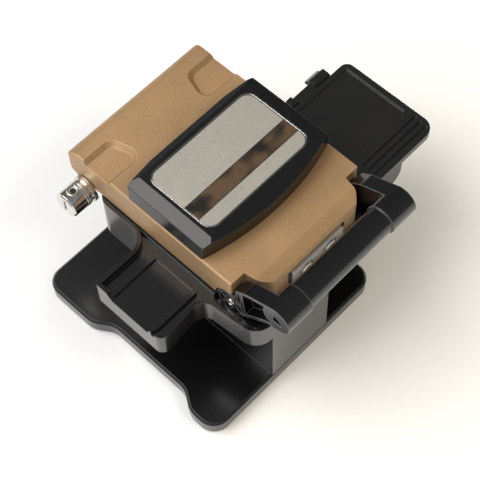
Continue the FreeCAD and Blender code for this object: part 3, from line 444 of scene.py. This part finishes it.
def catch_details():
    """Domed screws with painted shade in their counterbores and sockets, and thin dark sheets of painted
    shade for the slots beside the catch plate.
    """
    low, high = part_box("catch_plate")
    face = low.y
    for number in (1, 2):
        node = "catch_screw_%d" % number
        centre = box_middle(node, y=face)
        # The dark ring round each head is painted shade in its counterbore, and the socket's black is
        # painted shade.
        groove = turned(CATCH_GROOVE, centre, ALONG_Y, 48)
        piece("catch_groove_%d" % number, groove, SHADOW, "lid")
        head = turned(CATCH_HEAD, centre, ALONG_Y, 48)
        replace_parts(piece("catch_head_%d" % number, head, STEEL, "lid"), node)
        socket = turned(CATCH_SOCKET, centre, ALONG_Y, HEXAGON)
        piece("catch_socket_%d" % number, socket, SHADOW, "lid")
    depth = (face - ORIGIN.y) / MM
    for side_name, edge, away in (("left", low.x, -1), ("right", high.x, 1)):
        near, far = sorted((edge - ORIGIN.x) / MM + away * reach for reach in SLOT_OUT)
        # Each slot is a thin black sheet of painted shade, set back behind the plate's face.
        slot = chip((near, far), (depth + SLOT_DEEP[0], depth + SLOT_DEEP[1]),
                    (low.z / MM + SLOT_RISE, high.z / MM), 0.15, 0.05)
        piece("catch_slot_" + side_name, slot, SHADOW, "lid")


def coil_spring():
    """The lid's torsion spring as a close-wound coil round the shaft."""
    low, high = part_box("torsion_spring")
    middle = box_middle("torsion_spring")
    wire_r = COIL_WIRE_R * MM
    mean = (high.z - low.z) / 2 - wire_r
    span = high.x - low.x - 2 * wire_r
    steps = int(span / (COIL_PITCH * wire_r)) * COIL_STEPS
    points = []
    for i in range(steps + 1):
        angle = 2 * math.pi * i / COIL_STEPS
        points.append(Vector((low.x + wire_r + span * i / steps,
                              middle.y - mean * math.cos(angle), middle.z + mean * math.sin(angle))))
    coil = piece("torsion_coil", wire(points, COIL_WIRE_R, 8), STEEL, "base", smooth=True)
    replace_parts(coil, "torsion_spring")


def knob_details():
    """Fine turned rings on the tension knob, and the rim of its set screw with painted shade in its socket.
    """
    _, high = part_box("tension_knob")
    profile = [(-RING_HALF, RING_ROOT), (-RING_HALF, RING_FOOT), (-RING_CREST_HALF, RING_CREST),
               (RING_CREST_HALF, RING_CREST), (RING_HALF, RING_FOOT), (RING_HALF, RING_ROOT)]
    profile = [(along, KNOB_R + rise) for along, rise in profile]
    for number, back in enumerate(KNOB_RINGS, 1):
        centre = box_middle("tension_knob", x=high.x - back * MM)
        piece("knob_ring_%d" % number, turned(profile, centre, ALONG_X, 56), CHROME, "knob")
    _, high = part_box("set_screw")
    top = box_middle("set_screw", z=high.z)
    piece("set_screw_rim", turned(SCREW_RIM, top, ALONG_Z), CHROME, "knob")
    # The socket's black is painted shade.
    piece("set_screw_socket", turned(SCREW_SOCKET, top, ALONG_Z, HEXAGON), SHADOW, "knob")


def bracket_details():
    """Sockets of painted shade and raised crowns of the hinge bracket's two screws."""
    for number in (1, 2):
        node = "bracket_screw_%d" % number
        _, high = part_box(node)
        centre = box_middle(node, y=high.y)
        # The socket's black is painted shade.
        socket = turned(BRACKET_SOCKET, centre, ALONG_Y, HEXAGON)
        piece("bracket_socket_%d" % number, socket, SHADOW, "base")
        crown = turned(BRACKET_CROWN, centre, ALONG_Y)
        piece("bracket_crown_%d" % number, crown, STEEL, "base")


# ---------------------------------------------------------------- bail handle

HUB_RIM = ((-1.4, 5.3), (-0.1, 5.3), (0.12, 5.15), (0.12, 4.85), (-0.1, 4.7), (-1.4, 4.7))
HUB_SCREW = ((-0.9, 1.7), (0.0, 1.7), (0.28, 1.45), (0.4, 1.0), (0.4, 0.75), (0.05, 0.65), (0.05, 0.1))
SPOKES = 6
SPOKE_TURN = 0.35                # of one spoke's share of the circle
SPOKE_REACH = (2.9, 4.8)
SPOKE_SECTION = ((-0.3, -1.0), (0.3, -1.0), (0.3, -0.12), (0.16, 0.04), (-0.16, 0.04), (-0.3, -0.12))
BAR_BACK, BAR_BELOW = 5.5, 5.7   # the bar's axis from the handle's front and from its top
BAR_LINE_X = (-18.9, 18.9)
BAR_LINE = ((-0.25, 4.7), (-0.25, 5.02), (0.0, 5.12), (0.25, 5.02), (0.25, 4.7))


def hub_details():
    """Spoked rings and small screw heads in the outer faces of the bail's two hubs."""
    low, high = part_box("bail_handle")
    for side_name, face, out in (("left", low.x, -1), ("right", high.x, 1)):
        centre = box_middle("pivot_screw_" + side_name, x=face)
        outwards = Vector((out, 0, 0))
        rim = turned(HUB_RIM, centre, outwards, 56)
        piece("hub_rim_" + side_name, rim, BAIL, "bail")
        spokes = bmesh.new()
        for k in range(SPOKES):
            angle = 2 * math.pi / SPOKES * (k + SPOKE_TURN)
            direction = Vector((0, math.cos(angle), math.sin(angle)))
            across = Vector((0, -math.sin(angle), math.cos(angle)))
            ends = [centre + direction * reach * MM for reach in SPOKE_REACH]
            bar(spokes, ends, across, outwards, SPOKE_SECTION)
        piece("hub_spokes_" + side_name, spokes, BAIL, "bail")
        head = turned(HUB_SCREW, centre, outwards, 32)
        piece("hub_screw_" + side_name, head, CHROME, "base")


def bar_bands():
    """Fine moulded lines where the bar meets its two end collars."""
    low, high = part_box("bail_handle")
    for number, x in enumerate(BAR_LINE_X, 1):
        centre = Vector((ORIGIN.x + x * MM, low.y + BAR_BACK * MM, high.z - BAR_BELOW * MM))
        line = turned(BAR_LINE, centre, ALONG_X, 56)
        piece("bar_line_%d" % number, line, BAIL, "bail")


# ---------------------------------------------------------------- bin, deck and button

# Spans and places in millimetres in the lid's frame.
STRAP_X = (43.4, 50.6)
STRAP_SLOT_Y, STRAP_SLOT_Z = (5.9, 6.35), (46.7, 46.93)
STRAP_BEAD_Y, STRAP_BEAD_Z = (6.4, 6.6), (46.6, 46.98)
LATCH_PIN_PLACE = (53.2, 5.9, 46.8)
LATCH_PIN = ((-0.5, 1.0), (0.05, 1.0), (0.12, 0.9), (0.12, 0.5), (-0.1, 0.45), (-0.1, 0.05))
COVER_X, COVER_Y, COVER_Z = (34.3, 64.9), (-26.0, 2.3), (46.8, 47.12)
COVER_R, COVER_BEAD_WIDTH = 1.5, 0.35
DECK_SCREWS = ((-13.5, -31.5), (13.5, -31.5), (-25.5, 19.0), (25.5, 19.0))
DECK_SCREW = ((-0.4, 2.0), (0.05, 2.0), (0.12, 1.85), (0.12, 0.95), (-0.3, 0.9), (-0.3, 0.1))
BUTTON_MIDDLE = 1.75             # from the button's end
RIDGES = 36
RIDGE_ALONG = (-1.1, 0.9)
RIDGE_SECTION = ((4.8, -0.26), (4.8, 0.26), (5.16, 0.08), (5.16, -0.08))


def bin_details():
    """Slot of painted shade and bead in the hinge strap, the small latch pin, and the bead round the cover.
    """
    # The slot is a thin black sheet of painted shade.
    slot = chip(STRAP_X, STRAP_SLOT_Y, STRAP_SLOT_Z, 0.12, 0.03)
    piece("strap_slot", slot, SHADOW, "bin_cover")
    bead = chip(STRAP_X, STRAP_BEAD_Y, STRAP_BEAD_Z, 0.08, 0.05)
    piece("strap_bead", bead, BIN, "bin_cover")
    pin = turned(LATCH_PIN, at(*LATCH_PIN_PLACE), ALONG_Z, 28)
    piece("latch_pin", pin, OXIDE, "bin")
    edge = frame_ring(COVER_X, COVER_Y, COVER_Z, COVER_R, COVER_BEAD_WIDTH)
    piece("cover_bead", edge, BIN, "bin_cover")


def deck_screws():
    """Countersunk screws that hold the deck plate down."""
    _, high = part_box("deck_plate")
    for number, (x, y) in enumerate(DECK_SCREWS, 1):
        head = turned(DECK_SCREW, at(x, y, high.z / MM), ALONG_Z, 36)
        piece("deck_screw_%d" % number, head, STEEL, "base")


def button_knurl():
    """Ridges round the push rod's button."""
    _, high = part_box("push_rod")
    middle = box_middle("push_rod", y=high.y - BUTTON_MIDDLE * MM)
    ends = [middle + Vector((0, along, 0)) * MM for along in RIDGE_ALONG]
    ridges = bmesh.new()
    for k in range(RIDGES):
        angle = 2 * math.pi * k / RIDGES
        outwards = Vector((math.cos(angle), 0, math.sin(angle)))
        across = Vector((-math.sin(angle), 0, math.cos(angle)))
        bar(ridges, ends, outwards, across, RIDGE_SECTION)
    piece("button_knurl", ridges, CHROME, "carriage")


# ---------------------------------------------------------------- stage

AZIMUTH, ELEVATION, ROLL = math.radians(-44.36), math.radians(60.68), math.radians(-2.28)
SENSOR, LENS = 36, 102.275       # millimetres
DISTANCE = 0.5                   # metres from the camera to the point it aims at
AIM_RIGHT = 7.5 * MM             # of that point from the lid's middle plane
FLOOR_SIZE = 6
PAPER = ((0.93, 0.925, 0.92), (0.91, 0.905, 0.90))
ROOM_COLOUR = (0.96, 0.98, 1.0, 1)
BRIGHT_SIDE = (-0.65, -0.20, 0.0)
ROOM_STRENGTH = (0.13, 0.55)     # opposite the bright side and on it
ROOM_SPAN = (-0.4, 0.6)          # of a direction's product with BRIGHT_SIDE


def camera():
    """Long lens at the viewing angle, slightly rolled."""
    back = Vector((math.sin(AZIMUTH) * math.cos(ELEVATION), -math.cos(AZIMUTH) * math.cos(ELEVATION),
                   math.sin(ELEVATION)))
    level = (-back).cross(Vector(ALONG_Z)).normalized()
    upright = level.cross(-back)
    right = math.cos(ROLL) * level + math.sin(ROLL) * upright
    up = math.cos(ROLL) * upright - math.sin(ROLL) * level
    turn = Matrix((right, up, back)).transposed().to_4x4()
    data = bpy.data.cameras.new("view_camera")
    data.sensor_width = SENSOR
    data.lens = LENS
    item = bpy.data.objects.new("view_camera", data)
    bpy.context.collection.objects.link(item)
    aim = ORIGIN + Vector((AIM_RIGHT, 0, 0))
    item.matrix_world = Matrix.Translation(aim + back * DISTANCE) @ turn
    bpy.context.scene.camera = item


def area_light(name, place, target, size, power, colour):
    """Rectangular lamp at place that faces target, with sizes in metres and power in watts."""
    data = bpy.data.lights.new(name, "AREA")
    data.shape = "RECTANGLE"
    data.size, data.size_y = size
    data.energy = power
    data.color = colour
    item = bpy.data.objects.new(name, data)
    bpy.context.collection.objects.link(item)
    item.location = place
    item.rotation_euler = (Vector(target) - Vector(place)).to_track_quat("-Z", "Y").to_euler()
    return item


def floor():
    """White paper with hardly visible clouds."""
    bpy.ops.mesh.primitive_plane_add(size=FLOOR_SIZE)
    item = bpy.context.object
    item.name = "floor"
    nodes = Nodes("floor_paper")
    nodes.shader.inputs["Roughness"].default_value = 0.9
    nodes.link(nodes.mix(nodes.noise(0.2), *PAPER), nodes.shader.inputs["Base Color"])
    item.data.materials.append(nodes.material)


def sky():
    """Dim room, a little brighter on one side than on the other."""
    world = bpy.data.worlds.new("studio")
    world.use_nodes = True
    tree = world.node_tree
    background = tree.nodes["Background"]
    coordinates = tree.nodes.new("ShaderNodeTexCoord")
    towards = tree.nodes.new("ShaderNodeVectorMath")
    towards.operation = "DOT_PRODUCT"
    towards.inputs[1].default_value = BRIGHT_SIDE
    ramp = tree.nodes.new("ShaderNodeMapRange")
    ramp.inputs["From Min"].default_value, ramp.inputs["From Max"].default_value = ROOM_SPAN
    ramp.inputs["To Min"].default_value, ramp.inputs["To Max"].default_value = ROOM_STRENGTH
    tree.links.new(coordinates.outputs["Generated"], towards.inputs[0])
    tree.links.new(towards.outputs["Value"], ramp.inputs["Value"])
    tree.links.new(ramp.outputs["Result"], background.inputs["Strength"])
    background.inputs["Color"].default_value = ROOM_COLOUR
    bpy.context.scene.world = world


def studio():
    """Room, a large window light from behind the object's left, a small warm one in front, and floor."""
    bpy.context.scene.view_settings.view_transform = "Standard"
    sky()
    area_light("window", place=(-0.75, 0.65, 1.30), target=(0, 0, 0.03), size=(1.6, 1.5), power=30.0,
               colour=(1.0, 0.985, 0.96))
    front = area_light("front", place=(0.16, -0.42, 0.62), target=(0.02, -0.03, 0.06), size=(0.35, 0.25),
                       power=2.2, colour=(1.0, 0.88, 0.68))
    front.visible_glossy = False
    floor()


paint_frame()
nameplate()
catch_details()
coil_spring()
knob_details()
bracket_details()
hub_details()
bar_bands()
bin_details()
deck_screws()
button_knurl()
camera()
studio()
